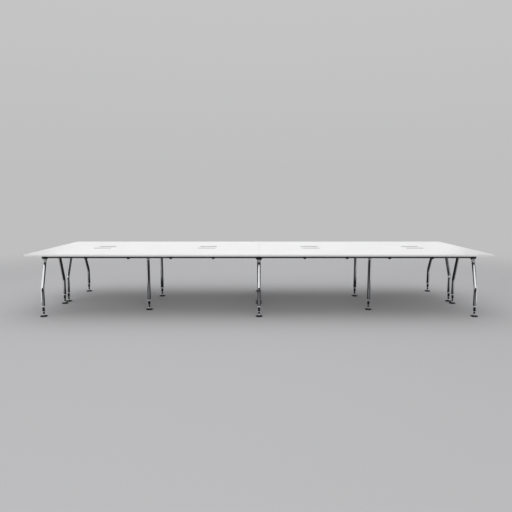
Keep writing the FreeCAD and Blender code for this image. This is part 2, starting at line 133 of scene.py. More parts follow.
class WorktopLook(bpy.types.PropertyGroup):
    """Laminate and edge strip of the two worktops."""

    white: colour("White", "Colour of the laminate", colour_of("white_laminate"))
    # The backing colour is partly a grey-black balancing sheet and partly painted shade, darkened to
    # stand in for the shade under the worktops.
    backing_and_shade: colour("Backing", "Colour of the balancing sheet underneath", (0.14, 0.14, 0.143))
    satin: share("Satin", "Roughness of the clean laminate", 0.34)
    pearl: length("Pearl", "Size of the laminate's fine relief", 1.1 * MILLIMETRE)
    pearl_relief: length("Pearl relief", "Depth of the laminate's fine relief", 0.02 * MILLIMETRE)
    smudge: length("Smudge", "Size of the soft smudges on the laminate", 280.0 * MILLIMETRE)
    wipe: length("Wipe", "Width of the streaks that wiping leaves", 20.0 * MILLIMETRE)
    drift: length("Drift", "Size of the slow changes in the laminate's tone", 900.0 * MILLIMETRE)
    edge: colour("Edge", "Colour of the edge strip", colour_of("edge_strip"))
    edge_line: length("Edge line", "Width of the lines along the edge strip", 0.7 * MILLIMETRE)
    edge_relief: length("Edge relief", "Depth of the lines along the edge strip", 0.02 * MILLIMETRE)
    edge_patch: length("Edge patch", "Size of the edge strip's glossier patches", 60.0 * MILLIMETRE)


class FrameLook(bpy.types.PropertyGroup):
    """Rails, beams, castings, trays and fixings under the worktops."""

    rail: colour("Rail", "Powder coat of the long rails", colour_of("rail_grey"))
    clamp: colour("Clamp", "Powder coat of the worktop clamps", colour_of("clamp_black"))
    tray: colour("Tray", "Powder coat of the cable trays", colour_of("tray_grey"))
    peel: length("Peel", "Size of the bumps in the powder coat", 1.3 * MILLIMETRE)
    peel_relief: length("Peel relief", "Depth of the bumps in the powder coat", 0.05 * MILLIMETRE)
    handled: length("Handled", "Size of the patches dulled by handling", 50.0 * MILLIMETRE)
    casting: colour("Casting", "Powder coat of the leg heads and sockets", colour_of("cast_black"))
    mould: length("Mould", "Size of the casting's coarse skin", 4.0 * MILLIMETRE)
    mould_relief: length("Mould relief", "Depth of the casting's coarse skin", 0.12 * MILLIMETRE)
    rub: length("Rub", "Size of the rubbed spots on the castings", 12.0 * MILLIMETRE)
    beam: colour("Beam", "Anodised beams across the desk", colour_of("beam_silver"))
    beam_metal: share("Beam metal", "How metallic the anodised skin looks", 0.55)
    brushed: length("Brushed", "Width of the brushed lines on the beams", 0.6 * MILLIMETRE)
    brushed_relief: length("Brushed relief", "Depth of the brushed lines", 0.01 * MILLIMETRE)
    stain: length("Stain", "Size of the faint stains on the beams", 120.0 * MILLIMETRE)
    steel: colour("Steel", "Zinc plate of the screws and pins", colour_of("steel"))
    crystal: length("Crystal", "Size of the crystals in the zinc", 1.5 * MILLIMETRE)
    crystal_relief: length("Crystal relief", "Depth of the crystals in the zinc", 0.01 * MILLIMETRE)
    tinge: length("Tinge", "Size of the warm and cool patches in the zinc", 6.0 * MILLIMETRE)
    beech: colour("Beech", "Wood of the dowels in the seam", colour_of("beech"))
    grain: length("Grain", "Width of the lines in the wood", 1.6 * MILLIMETRE)
    grain_relief: length("Grain relief", "Depth of the lines in the wood", 0.04 * MILLIMETRE)
    fleck: length("Fleck", "Width of the dark flecks in the wood", 0.9 * MILLIMETRE)


class LegLook(bpy.types.PropertyGroup):
    """Chrome tubes and telescopic feet."""

    chrome: colour("Chrome", "Tint of the chrome plate", colour_of("chrome"))
    polish: share("Polish", "Roughness of clean chrome", 0.045)
    line: length("Line", "Width of the polishing lines on the tubes", 1.2 * MILLIMETRE)
    line_relief: length("Line relief", "Depth of the polishing lines", 0.002 * MILLIMETRE)
    smear: length("Smear", "Size of the smears of handling", 35.0 * MILLIMETRE)
    dust: length("Dust", "Size of the specks of dust", 4.0 * MILLIMETRE)
    neck: length("Neck", "Where a tube turns satin, above the floor", 628.0 * MILLIMETRE)
    satin: share("Satin", "Roughness of the satin necks, collars, nuts and rings", 0.34)
    satin_metal: share("Satin metal", "How metallic the satin plate looks", 0.4)
    turned: length("Turned", "Width of the turned lines round the collars", 0.6 * MILLIMETRE)
    turned_relief: length("Turned relief", "Depth of the turned lines", 0.01 * MILLIMETRE)
    rub: length("Rub", "Size of the bright rubs on the collars", 10.0 * MILLIMETRE)
    foot: colour("Foot", "Moulded plastic of the feet", colour_of("foot_black"))
    spark: length("Spark", "Size of the moulding's fine texture", 0.7 * MILLIMETRE)
    spark_relief: length("Spark relief", "Depth of the moulding's fine texture", 0.03 * MILLIMETRE)
    scuff: length("Scuff", "Width of the scuffs on the feet", 6.0 * MILLIMETRE)
    dust_high: length("Dust height", "Where the feet's dust ends, above the floor", 12.0 * MILLIMETRE)
    nut_low: length("Nut foot", "Where the bright nut starts, above the floor", 17.0 * MILLIMETRE)
    nut_high: length("Nut top", "Where the bright nut ends, above the floor", 29.9 * MILLIMETRE)
    ring_low: length("Ring foot", "Where the bright ring starts, above the floor", 57.9 * MILLIMETRE)
    ring_high: length("Ring top", "Where the bright ring ends, above the floor", 62.1 * MILLIMETRE)


class OutletLook(bpy.types.PropertyGroup):
    """Cable outlets in the worktops, with their lids and brushes."""

    frame: colour("Frame", "Moulding of the outlet frames", colour_of("outlet_white"))
    lid: colour("Lid", "Moulding of the lids", colour_of("lid_white"))
    spark: length("Spark", "Size of the moulding's fine texture", 0.7 * MILLIMETRE)
    spark_relief: length("Spark relief", "Depth of the moulding's fine texture", 0.03 * MILLIMETRE)
    flow: length("Flow", "Size of the faint flow of tone in the mouldings", 90.0 * MILLIMETRE)
    rub: length("Rub", "Size of the rubbed patches on the mouldings", 20.0 * MILLIMETRE)
    brush: colour("Brush", "Bristles and their holder", colour_of("brush_black"))
    strand: length("Strand", "Size of the changes of tone between bristles", 1.5 * MILLIMETRE)
    dusty: length("Dusty", "Size of the dusty stretches of a brush", 30.0 * MILLIMETRE)
    holder_depth: length("Holder depth", "From the outlet's wall to the bristles", 5.0 * MILLIMETRE)
    holder_height: length("Holder height", "Height of the bristle holder", 8.0 * MILLIMETRE)
    holder_round: length("Holder round", "Rounding of the holder's edges", 0.7 * MILLIMETRE)
    pitch: length("Pitch", "From one bristle to the next in a row", 0.9 * MILLIMETRE)
    bristle: length("Bristle", "Thickness of a bristle at its root", 0.8 * MILLIMETRE)
    tip_gap: length("Tip gap", "From the longest bristle to the lid", 1.0 * MILLIMETRE)
    row_span: length("Row span", "From the lowest to the highest row of bristles", 2.0 * MILLIMETRE)
    rows: IntProperty(name="Rows", description="Rows of bristles above each other", default=3, min=1)
    stray: angle("Stray", "How far a bristle may lean to a side", math.radians(4.0))
    droop: angle("Droop", "How far a bristle may hang down", math.radians(0.5))
    shortest: share("Shortest", "Shortest bristle as a share of the longest", 0.92)
    seed: IntProperty(name="Seed", description="Start of the bristles' random lean", default=7)


class StageLook(bpy.types.PropertyGroup):
    """Floor, backdrop, lamps and camera."""

    floor: colour("Floor", "Colour of the floor", (0.52, 0.52, 0.525))
    fade_start: length("Fade start", "Where the floor starts to fade into the backdrop", 3.8)
    fade_end: length("Fade end", "Where only the backdrop is left", 8.5)
    sky: colour("Sky", "Colour of the backdrop at the horizon", (0.52, 0.52, 0.525))
    zenith: colour("Zenith", "Colour of the backdrop overhead", (0.62, 0.62, 0.63))
    sky_low: share("Sky low", "Height in the backdrop where its colour starts to change", 0.05)
    sky_high: share("Sky high", "Height in the backdrop where its colour is that overhead", 0.9)
    mirrored: share("Mirrored", "Share of the backdrop's light that polished surfaces mirror", 0.6)
    # Dark and Dim colour a sheet of painted shade that only the chrome mirrors, standing in for the
    # shade under and around the desk.
    dark: colour("Dark", "Colour of the sheet that the chrome mirrors", (0.05, 0.05, 0.051))
    dim: colour("Dim", "Colour of that sheet low down in front of the desk", (0.24, 0.24, 0.245))
    dim_high: length("Dim height", "Upper edge of the dim stretch in front", 0.11)
    sheet_gap: length("Sheet gap", "From the desk's long sides to the upright ends of the sheet", 0.9)
    sheet_past: length("Sheet past", "How far the sheet reaches past the ends of the desk", 0.2)
    sheet_high: length("Sheet height", "Upper edge of the sheet, below the worktop", 0.68)
    aim: place("Aim", "What the soft lamps point at", (0.0, 0.0, 0.5))
    ceiling_place: place("Ceiling place", "Middle of the soft lamp overhead", (0.0, 0.0, 4.2))
    ceiling_size: span("Ceiling size", "Width and depth of the soft lamp overhead", (9.0, 5.0))
    ceiling_power: power("Ceiling", "Power of the soft lamp overhead", 82.0)
    front_place: place("Front place", "Middle of the soft lamp behind the viewer", (0.0, -8.0, 4.0))
    front_size: span("Front size", "Width and height of the soft lamp behind the viewer", (10.0, 4.8))
    front_power: power("Front", "Power of the soft lamp behind the viewer", 178.0)
    side_place: place("Side place", "Middle of the soft lamp on the left", (-8.0, -4.0, 2.9))
    side_size: span("Side size", "Width and height of the soft lamp on the left", (5.0, 5.0))
    side_power: power("Side", "Power of the soft lamp on the left", 80.0)
    back_place: place("Back place", "Middle of the soft lamp behind the desk", (0.0, 7.0, 2.6))
    back_size: span("Back size", "Width and height of the soft lamp behind the desk", (12.0, 3.2))
    back_power: power("Back", "Power of the soft lamp behind the desk", 95.0)
    strip_power: power("Strips", "Power of the low strip lamp beyond each end", 1.5)
    strip_gap: length("Strip gap", "From an end of the desk to the strip lamp", 0.6)
    strip_ahead: length("Strip ahead", "From the desk's front to the middle of a strip lamp", 0.3)
    strip_length: length("Strip length", "Length of a strip lamp", 1.0)
    eye: place("Eye", "Place of the camera", (-0.0357, -5.9865, 1.3783))
    pitch: angle("Pitch", "How far the camera looks down", 0.1254)
    lens: FloatProperty(
        name="Lens", description="Focal length of the camera", default=32.08, min=1.0, unit="CAMERA")
    sensor: FloatProperty(
        name="Sensor", description="Width of the camera's sensor", default=36.0, min=1.0, unit="CAMERA")


class Value:
    """An output socket that can stand in a sum."""

    def __init__(self, sheet, socket):
        self.sheet = sheet
        self.socket = socket

    def maths(self, operation, first, second):
        return self.sheet.node("ShaderNodeMath", {"operation": operation}, {0: first, 1: second})

    def __add__(self, other):
        return self.maths("ADD", self, other)

    def __radd__(self, other):
        return self.maths("ADD", other, self)

    def __sub__(self, other):
        return self.maths("SUBTRACT", self, other)

    def __rsub__(self, other):
        return self.maths("SUBTRACT", other, self)

    def __mul__(self, other):
        return self.maths("MULTIPLY", self, other)

    def __rmul__(self, other):
        return self.maths("MULTIPLY", other, self)

    def __truediv__(self, other):
        return self.maths("DIVIDE", self, other)

    def __gt__(self, other):
        return self.maths("GREATER_THAN", self, other)

    def __lt__(self, other):
        return self.maths("LESS_THAN", self, other)


class Sheet:
    """A node tree that is written from left to right."""

    def __init__(self, tree):
        self.tree = tree
        tree.nodes.clear()

    @staticmethod
    def socket(sockets, key):
        if isinstance(key, int):
            return sockets[key]
        for socket in sockets:
            if key in (socket.identifier, socket.name):
                return socket
        raise KeyError(key)

    def node(self, kind, settings=None, inputs=None, output=0):
        """Adds a node, makes its settings first, then fills or links its sockets."""
        item = self.tree.nodes.new(kind)
        for key, value in (settings or {}).items():
            setattr(item, key, value)
        for key, value in (inputs or {}).items():
            socket = self.socket(item.inputs, key)
            if isinstance(value, Value):
                self.tree.links.new(value.socket, socket)
            else:
                socket.default_value = value
        if not item.outputs:
            return None
        return Value(self, self.socket(item.outputs, output))


def cloud(sheet, size, draw=(1.0, 1.0, 1.0), detail=2.0, seed=0.0):
    """Noise with spots of about one size, in metres, drawn out along the axes by their factors."""
    point = sheet.node("ShaderNodeTexCoord", output="Object")
    squeeze = [1.0 / (size * factor) for factor in draw]
    spot = sheet.node("ShaderNodeVectorMath", {"operation": "MULTIPLY"}, {0: point, 1: squeeze})
    return sheet.node(
        "ShaderNodeTexNoise", {"noise_dimensions": "4D"},
        {"Vector": spot, "W": seed, "Scale": 1.0, "Detail": detail})


def spread(sheet, noise, low=0.0, high=1.0):
    """Stretches the middle part of a noise over the span from low to high."""
    return sheet.node(
        "ShaderNodeMapRange", {},
        {"Value": noise, "From Min": NOISE_LOW, "From Max": NOISE_HIGH, "To Min": low, "To Max": high})


def peaks(sheet, noise, start):
    """The share of a noise above start, as spots on nothing."""
    full = 1.0 - 0.4 * start
    return sheet.node("ShaderNodeMapRange", {}, {"Value": noise, "From Min": start, "From Max": full})


def scaled(tone, factor):
    """A colour made lighter or darker, as nodes take it."""
    return tuple(min(1.0, part * factor) for part in tone) + (1.0,)


def opaque(tone):
    """A colour as nodes take it."""
    return tuple(tone) + (1.0,)


def mixed(sheet, factor, first, second):
    """Colour between two others."""
    return sheet.node(
        "ShaderNodeMix", {"data_type": "RGBA"},
        {"Factor_Float": factor, "A_Color": first, "B_Color": second}, "Result_Color")


def shades(sheet, factor, tone, low, high):
    """Colour that goes from one shade of a tone, where the factor is 0, to another, where it is 1."""
    return mixed(sheet, factor, scaled(tone, low), scaled(tone, high))


def raised(sheet, height, depth):
    """Surface direction of a relief whose heights, from 0 to 1, stand for a depth in metres."""
    return sheet.node("ShaderNodeBump", {}, {"Height": height, "Distance": depth, "Strength": 1.0})


def new_finish(name):
    material = bpy.data.materials.new(name)
    material.use_nodes = True
    return material, Sheet(material.node_tree)


def surfaced(sheet, sockets):
    shader = sheet.node("ShaderNodeBsdfPrincipled", {}, sockets)
    sheet.node("ShaderNodeOutputMaterial", {}, {"Surface": shader})


def upright_part(sheet, coordinates):
    """Z of a point, of the direction its face looks, or of a direction in the sky."""
    vector = sheet.node("ShaderNodeTexCoord", output=coordinates)
    return sheet.node("ShaderNodeSeparateXYZ", {}, {"Vector": vector}, "Z")


def laminate(look):
    """White laminate: pearl-fine relief, soft smudges, wiping streaks, and underneath a dark grey that
    is partly a balancing sheet and partly painted shade.
    """
    material, sheet = new_finish("white_laminate_finish")
    pearl = cloud(sheet, look.pearl, detail=3.0, seed=1.0)
    smudge = cloud(sheet, look.smudge, detail=5.0, seed=2.0)
    wiped = cloud(sheet, look.wipe, draw=(14.0, 1.0, 1.0), detail=4.0, seed=3.0)
    drift = cloud(sheet, look.drift, detail=2.0, seed=4.0)
    shade = spread(sheet, 0.7 * drift + 0.3 * pearl)
    white = shades(sheet, shade, look.white, low=0.975, high=1.0)
    # Faces that look down get the backing colour: partly the balancing sheet's own grey, partly painted
    # shade for the shade under the worktop.
    grey = shades(sheet, spread(sheet, wiped), look.backing_and_shade, low=0.9, high=1.1)
    below = upright_part(sheet, "Normal") < -0.5
    streak = spread(sheet, wiped, low=-0.015, high=0.02)
    surfaced(sheet, {
        "Base Color": mixed(sheet, below, white, grey),
        "Roughness": look.satin + spread(sheet, smudge, low=-0.05, high=0.07) + streak,
        "Normal": raised(sheet, pearl, look.pearl_relief),
    })
    return material


def edge_strip(look):
    """Extruded strip: fine lines along the edge and a slightly uneven gloss."""
    material, sheet = new_finish("edge_strip_finish")
    lines = cloud(sheet, look.edge_line, draw=(900.0, 900.0, 1.0), detail=3.0, seed=5.0)
    patch = cloud(sheet, look.edge_patch, detail=4.0, seed=6.0)
    surfaced(sheet, {
        "Base Color": shades(sheet, spread(sheet, lines), look.edge, low=0.94, high=1.0),
        "Roughness": spread(sheet, patch, low=0.32, high=0.46),
        "Normal": raised(sheet, lines, look.edge_relief),
    })
    return material


def powder_coat(name, look, tone, seed):
    """Baked powder: orange-peel relief, tiny pale and dark grains, dull where it was handled."""
    material, sheet = new_finish(name)
    skin = cloud(sheet, look.peel, detail=3.0, seed=seed)
    speck = cloud(sheet, 0.45 * look.peel, detail=1.0, seed=seed + 0.5)
    handled = cloud(sheet, look.handled, detail=4.0, seed=seed + 0.7)
    grains = spread(sheet, 0.6 * speck + 0.4 * handled)
    surfaced(sheet, {
        "Base Color": shades(sheet, grains, tone, low=0.82, high=1.2),
        "Roughness": spread(sheet, handled, low=0.42, high=0.58),
        "Normal": raised(sheet, skin, look.peel_relief),
    })
    return material


def cast_black(look):
    """Black powder on a casting: the mould's coarse skin under the coat, and spots rubbed brighter."""
    material, sheet = new_finish("cast_black_finish")
    mould = cloud(sheet, look.mould, detail=4.0, seed=11.0)
    skin = cloud(sheet, look.peel, detail=3.0, seed=12.0)
    rubbed = peaks(sheet, cloud(sheet, look.rub, detail=5.0, seed=13.0), 0.56)
    surfaced(sheet, {
        "Base Color": shades(sheet, 0.5 * rubbed, look.casting, low=0.9, high=2.6),
        "Roughness": spread(sheet, mould, low=0.36, high=0.52) - 0.08 * rubbed,
        "Normal": raised(sheet, 0.7 * mould + 0.3 * skin, look.mould_relief),
    })
    return material


def anodised(look):
    """Satin anodised bar, brushed along its length."""
    material, sheet = new_finish("beam_silver_finish")
    brushed = cloud(sheet, look.brushed, draw=(1.0, 220.0, 1.0), detail=3.0, seed=21.0)
    stain = cloud(sheet, look.stain, detail=3.0, seed=22.0)
    shade = spread(sheet, 0.5 * brushed + 0.5 * stain)
    surfaced(sheet, {
        "Base Color": shades(sheet, shade, look.beam, low=0.9, high=1.06),
        "Metallic": look.beam_metal,
        "Roughness": spread(sheet, brushed, low=0.34, high=0.5),
        "Normal": raised(sheet, brushed, look.brushed_relief),
    })
    return material


def chrome(look):
    """Bright plate, satin at the neck: polishing lines along the tube, smears, and specks of dust."""
    material, sheet = new_finish("chrome_finish")
    neck = upright_part(sheet, "Object") > look.neck
    lines = cloud(sheet, look.line, draw=(1.0, 1.0, 60.0), detail=3.0, seed=31.0)
    smear = peaks(sheet, cloud(sheet, look.smear, draw=(1.0, 1.0, 1.8), detail=5.0, seed=32.0), 0.5)
    dust = peaks(sheet, cloud(sheet, look.dust, detail=3.0, seed=33.0), 0.58)
    bright = shades(sheet, 0.5 * smear, look.chrome, low=0.8, high=0.72)
    gloss = look.polish + 0.05 * smear + 0.06 * dust + spread(sheet, lines, low=0.0, high=0.02)
    satin = look.satin + spread(sheet, lines, low=-0.04, high=0.04)
    surfaced(sheet, {
        "Base Color": mixed(sheet, neck, bright, scaled(look.chrome, 1.06)),
        "Metallic": 1.0 - (1.0 - look.satin_metal) * neck,
        "Roughness": gloss * (1.0 - neck) + satin * neck,
        "Normal": raised(sheet, lines, look.line_relief),
    })
    return material


def satin_collar(look):
    """Satin plate: turned lines round the collar and a few bright rubs."""
    material, sheet = new_finish("collar_finish")
    turned = cloud(sheet, look.turned, draw=(40.0, 40.0, 1.0), detail=3.0, seed=35.0)
    rubbed = peaks(sheet, cloud(sheet, look.rub, detail=4.0, seed=36.0), 0.55)
    surfaced(sheet, {
        "Base Color": shades(sheet, spread(sheet, turned), look.chrome, low=0.96, high=1.06),
        "Metallic": look.satin_metal,
        "Roughness": look.satin + spread(sheet, turned, low=-0.04, high=0.04) - 0.1 * rubbed,
        "Normal": raised(sheet, turned, look.turned_relief),
    })
    return material


def foot_finish(look):
    """Black moulded foot with a satin nut and ring, dusty round the rim that stands on the floor."""
    material, sheet = new_finish("foot_black_finish")
    height = upright_part(sheet, "Object")
    nut = (height > look.nut_low) * (height < look.nut_high)
    ring = (height > look.ring_low) * (height < look.ring_high)
    bright = nut + ring
    skin = cloud(sheet, look.spark, detail=3.0, seed=41.0)
    scuff = peaks(sheet, cloud(sheet, look.scuff, draw=(1.0, 1.0, 3.0), detail=5.0, seed=42.0), 0.55)
    dust = sheet.node(
        "ShaderNodeMapRange", {},
        {"Value": height, "From Min": 0.0, "From Max": look.dust_high, "To Min": 1.0, "To Max": 0.0})
    worn = shades(sheet, 0.3 * dust + 0.2 * scuff, look.foot, low=0.45, high=2.4)
    dull = spread(sheet, skin, low=0.4, high=0.55) + 0.1 * dust
    surfaced(sheet, {
        "Base Color": mixed(sheet, bright, worn, opaque(look.chrome)),
        "Metallic": look.satin_metal * bright,
        "Roughness": (1.0 - bright) * dull + look.satin * bright,
        "Specular IOR Level": 0.25,
        "Normal": raised(sheet, (1.0 - bright) * skin, look.spark_relief),
    })
    return material


def moulding(name, look, tone, seed):
    """Satin plastic with the fine spark texture of its mould and a faint flow of tone."""
    material, sheet = new_finish(name)
    skin = cloud(sheet, look.spark, detail=2.0, seed=seed)
    flow = cloud(sheet, look.flow, detail=3.0, seed=seed + 0.4)
    rubbed = cloud(sheet, look.rub, detail=4.0, seed=seed + 0.8)
    surfaced(sheet, {
        "Base Color": shades(sheet, spread(sheet, flow), tone, low=0.965, high=1.0),
        "Roughness": spread(sheet, rubbed, low=0.36, high=0.5),
        "Normal": raised(sheet, skin, look.spark_relief),
    })
    return material


def zinc(look):
    """Zinc plate: crystals of slightly different gloss with a faint yellow and blue tinge."""
    material, sheet = new_finish("steel_finish")
    crystal = cloud(sheet, look.crystal, detail=3.0, seed=51.0)
    tinge = cloud(sheet, look.tinge, detail=2.0, seed=52.0)
    red, green, blue = look.steel
    warm = (red * 1.05, green * 1.02, blue * 0.9, 1.0)
    cool = (red * 0.92, green * 0.97, blue * 1.06, 1.0)
    surfaced(sheet, {
        "Base Color": mixed(sheet, spread(sheet, tinge), warm, cool),
        "Metallic": 1.0,
        "Roughness": spread(sheet, crystal, low=0.24, high=0.42),
        "Normal": raised(sheet, crystal, look.crystal_relief),
    })
    return material


def beech_wood(look):
    """Turned beech with its flecks drawn out along the dowel."""
    material, sheet = new_finish("beech_finish")
    grain = cloud(sheet, look.grain, draw=(18.0, 1.0, 1.0), detail=4.0, seed=61.0)
    fleck = peaks(sheet, cloud(sheet, look.fleck, draw=(5.0, 1.0, 1.0), detail=1.0, seed=62.0), 0.6)
    shade = spread(sheet, grain, low=0.0, high=0.7) + 0.3 * fleck
    surfaced(sheet, {
        "Base Color": shades(sheet, shade, look.beech, low=1.08, high=0.68),
        "Roughness": spread(sheet, grain, low=0.5, high=0.68),
        "Normal": raised(sheet, grain, look.grain_relief),
    })
    return material


def bristle_finish(look):
    """Black nylon filaments, some dusty and some fresh."""
    material, sheet = new_finish("brush_black_finish")
    strand = cloud(sheet, look.strand, draw=(1.0, 8.0, 1.0), detail=2.0, seed=71.0)
    dusty = cloud(sheet, look.dusty, detail=3.0, seed=72.0)
    shade = spread(sheet, 0.6 * strand + 0.4 * dusty)
    surfaced(sheet, {
        "Base Color": shades(sheet, shade, look.brush, low=0.3, high=0.8),
        "Roughness": spread(sheet, strand, low=0.7, high=0.9),
        "Specular IOR Level": 0.05,
    })
    return material


def matt(name, tone):
    """Plain matt finish for the stage."""
    material, sheet = new_finish(name)
    shader = sheet.node("ShaderNodeBsdfDiffuse", {}, {"Color": opaque(tone)})
    sheet.node("ShaderNodeOutputMaterial", {}, {"Surface": shader})
    return material


def fading_floor(look):
    """Matt floor that turns clear towards its rim, so that it fades into the backdrop."""
    material, sheet = new_finish("floor_finish")
    point = sheet.node("ShaderNodeTexCoord", output="Object")
    radius = sheet.node("ShaderNodeVectorMath", {"operation": "LENGTH"}, {0: point}, "Value")
    fade = sheet.node(
        "ShaderNodeMapRange", {"interpolation_type": "SMOOTHSTEP"},
        {"Value": radius, "From Min": look.fade_start, "From Max": look.fade_end})
    ground = sheet.node("ShaderNodeBsdfDiffuse", {}, {"Color": opaque(look.floor)})
    clear = sheet.node("ShaderNodeBsdfTransparent")
    shader = sheet.node("ShaderNodeMixShader", {}, {0: fade, 1: ground, 2: clear})
    sheet.node("ShaderNodeOutputMaterial", {}, {"Surface": shader})
    return material


def dress(material, *names):
    """Gives a finish to CAD pieces."""
    for name in names:
        NODES[name].material_slots[0].material = material


def named(start):
    """CAD pieces whose names start alike."""
    found = sorted(name for name in NODES if name.startswith(start))
    if not found:
        raise ValueError("no piece of the desk is named " + start)
    return found


def new_object(name, mesh):
    item = bpy.data.objects.new(name, mesh)
    bpy.context.scene.collection.objects.link(item)
    return item


def mesh_of(name, points, faces):
    mesh = bpy.data.meshes.new(name)
    mesh.from_pydata(points, [], faces)
    mesh.update()
    return mesh


def brush_places():
    """Foot of each brush: on the outlet's wall, level with the bristles' top, and how it is turned."""
    low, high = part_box("brush_strips")
    places = []
    for name in named("lid_"):
        lid_low, lid_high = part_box(name)
        centre = (lid_low.x + lid_high.x) / 2
        back = lid_high.y > -lid_low.y
        wall = high.y if back else low.y
        turn = 0.0 if back else math.pi
        places.append((Vector((centre, wall, high.z)), turn))
    return places


def brush_length(places):
    return 2 * (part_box("brush_strips")[1].x - max(point.x for point, turn in places))


def brush_reach(look):
    """Length of the longest bristle, from its root in the holder to just short of the lid."""
    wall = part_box("brush_strips")[1].y
    lid_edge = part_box("lid_back_left_outer")[1].y
    return wall - lid_edge - look.tip_gap - ROOT_SHARE * look.holder_depth


def brush_values(look, places):
    """What the brushes' nodes are given."""
    return {
        "Strip length": brush_length(places),
        "Reach": brush_reach(look),
        "Holder depth": look.holder_depth,
        "Holder height": look.holder_height,
        "Holder round": look.holder_round,
        "Pitch": look.pitch,
        "Bristle": look.bristle,
        "Row span": look.row_span,
        "Stray": look.stray,
        "Droop": look.droop,
        "Shortest": look.shortest,
        "Rows": look.rows,
        "Seed": look.seed,
    }


class BrushTree(Sheet):
    """Geometry nodes for brushes: at each place a holder on the wall, with rows of stray bristles."""

    def __init__(self, values):
        super().__init__(bpy.data.node_groups.new("cable_brushes", "GeometryNodeTree"))
        self.values = values
        self.add_socket("Places", "INPUT", "NodeSocketGeometry")
        for name, value in values.items():
            kind = "NodeSocketInt" if isinstance(value, int) else "NodeSocketFloat"
            self.add_socket(name, "INPUT", kind)
        self.add_socket("Brushes", "OUTPUT", "NodeSocketGeometry")

    def add_socket(self, name, side, kind):
        self.tree.interface.new_socket(name, in_out=side, socket_type=kind)

    def given(self, name):
        return self.node("NodeGroupInput", output=name)

    def vector(self, x, y, z):
        return self.node("ShaderNodeCombineXYZ", {}, {0: x, 1: y, 2: z})

    def chance(self, low, high, step):
        """A random number for each bristle, another one for each step."""
        return self.node(
            "FunctionNodeRandomValue", {"data_type": "FLOAT"},
            {"Min_001": low, "Max_001": high, "Seed": self.given("Seed") + step}, "Value_001")

    def turn(self):
        """How far the brush at a place is turned about the upright."""
        return self.node(
            "GeometryNodeInputNamedAttribute", {"data_type": "FLOAT"}, {"Name": "turn"}, "Attribute")

    def at_places(self, shape):
        """One copy of a shape at each place, turned to its wall."""
        return self.node(
            "GeometryNodeInstanceOnPoints", {},
            {"Points": self.given("Places"), "Instance": shape,
             "Rotation": self.vector(0.0, 0.0, self.turn())})

    def holders(self):
        """Rounded bars, their backs on the outlets' walls."""
        half = self.given("Strip length") * 0.5
        line = self.node(
            "GeometryNodeCurvePrimitiveLine", {},
            {"Start": self.vector(0.0 - half, 0.0, 0.0), "End": self.vector(half, 0.0, 0.0)})
        outline = self.node(
            "GeometryNodeCurvePrimitiveQuadrilateral", {},
            {"Width": self.given("Holder depth"), "Height": self.given("Holder height")})
        rounded = self.node(
            "GeometryNodeFilletCurve", {"mode": "POLY"},
            {"Curve": outline, "Radius": self.given("Holder round"), "Count": HOLDER_ROUND_STEPS})
        bar = self.node(
            "GeometryNodeCurveToMesh", {},
            {"Curve": line, "Profile Curve": rounded, "Fill Caps": True})
        middle = self.vector(
            0.0, self.given("Holder depth") * -0.5, self.given("Holder height") * -0.5)
        holder = self.node("GeometryNodeTransform", {}, {"Geometry": bar, "Translation": middle})
        return self.at_places(holder)

    def roots(self):
        """Points in the holders' fronts, in upright rows, where the bristles start."""
        grid = self.node(
            "GeometryNodeMeshGrid", {},
            {"Size X": self.given("Strip length") - self.given("Pitch"),
             "Size Y": self.given("Row span"),
             "Vertices X": self.given("Strip length") / self.given("Pitch"),
             "Vertices Y": self.given("Rows")})
        drop = self.given("Row span") * -0.5 - self.given("Bristle") * 0.5
        rows = self.node(
            "GeometryNodeTransform", {},
            {"Geometry": grid, "Rotation": (math.pi / 2, 0.0, 0.0),
             "Translation": self.vector(0.0, self.given("Holder depth") * -ROOT_SHARE, drop)})
        return self.node("GeometryNodeRealizeInstances", {}, {"Geometry": self.at_places(rows)})

    def bristles(self):
        """Tapered strands that lean a little to either side, hang a little and differ in length."""
        root = self.given("Bristle") * 0.5
        strand = self.node(
            "GeometryNodeMeshCone", {"fill_type": "NGON"},
            {"Vertices": BRISTLE_SIDES, "Radius Top": root * TIP_SHARE, "Radius Bottom": root,
             "Depth": self.given("Reach")})
        stray = self.given("Stray")
        hang = math.pi / 2 + self.chance(0.0, self.given("Droop"), 0)
        lean = self.turn() + self.chance(0.0 - stray, stray, 1)
        stretch = self.chance(self.given("Shortest"), 1.0, 2)
        return self.node(
            "GeometryNodeInstanceOnPoints", {},
            {"Points": self.roots(), "Instance": strand, "Rotation": self.vector(hang, 0.0, lean),
             "Scale": self.vector(1.0, 1.0, stretch)})

    def finish(self, parts):
        """Joins plain geometries, each with its material, into the output."""
        whole = self.node("GeometryNodeJoinGeometry")
        inlet = whole.socket.node.inputs[0]
        for geometry, material in parts:
            solid = self.node("GeometryNodeRealizeInstances", {}, {"Geometry": geometry})
            coated = self.node(
                "GeometryNodeSetMaterial", {}, {"Geometry": solid, "Material": material})
            self.tree.links.new(coated.socket, inlet)
        self.node("NodeGroupOutput", {}, {"Brushes": whole})

    def use_on(self, item):
        """Puts the tree on an object and fills its inputs."""
        modifier = item.modifiers.new("Brushes", "NODES")
        modifier.node_group = self.tree
        for socket in self.tree.interface.items_tree:
            if socket.in_out == "INPUT" and socket.name in self.values:
                modifier[socket.identifier] = self.values[socket.name]


def plain_mesh(item, name):
    """Turns what the modifiers of an object make into a plain piece."""
    shown = item.evaluated_get(bpy.context.evaluated_depsgraph_get())
    piece = new_object(name, bpy.data.meshes.new_from_object(shown))
    bpy.data.objects.remove(item)
    return piece


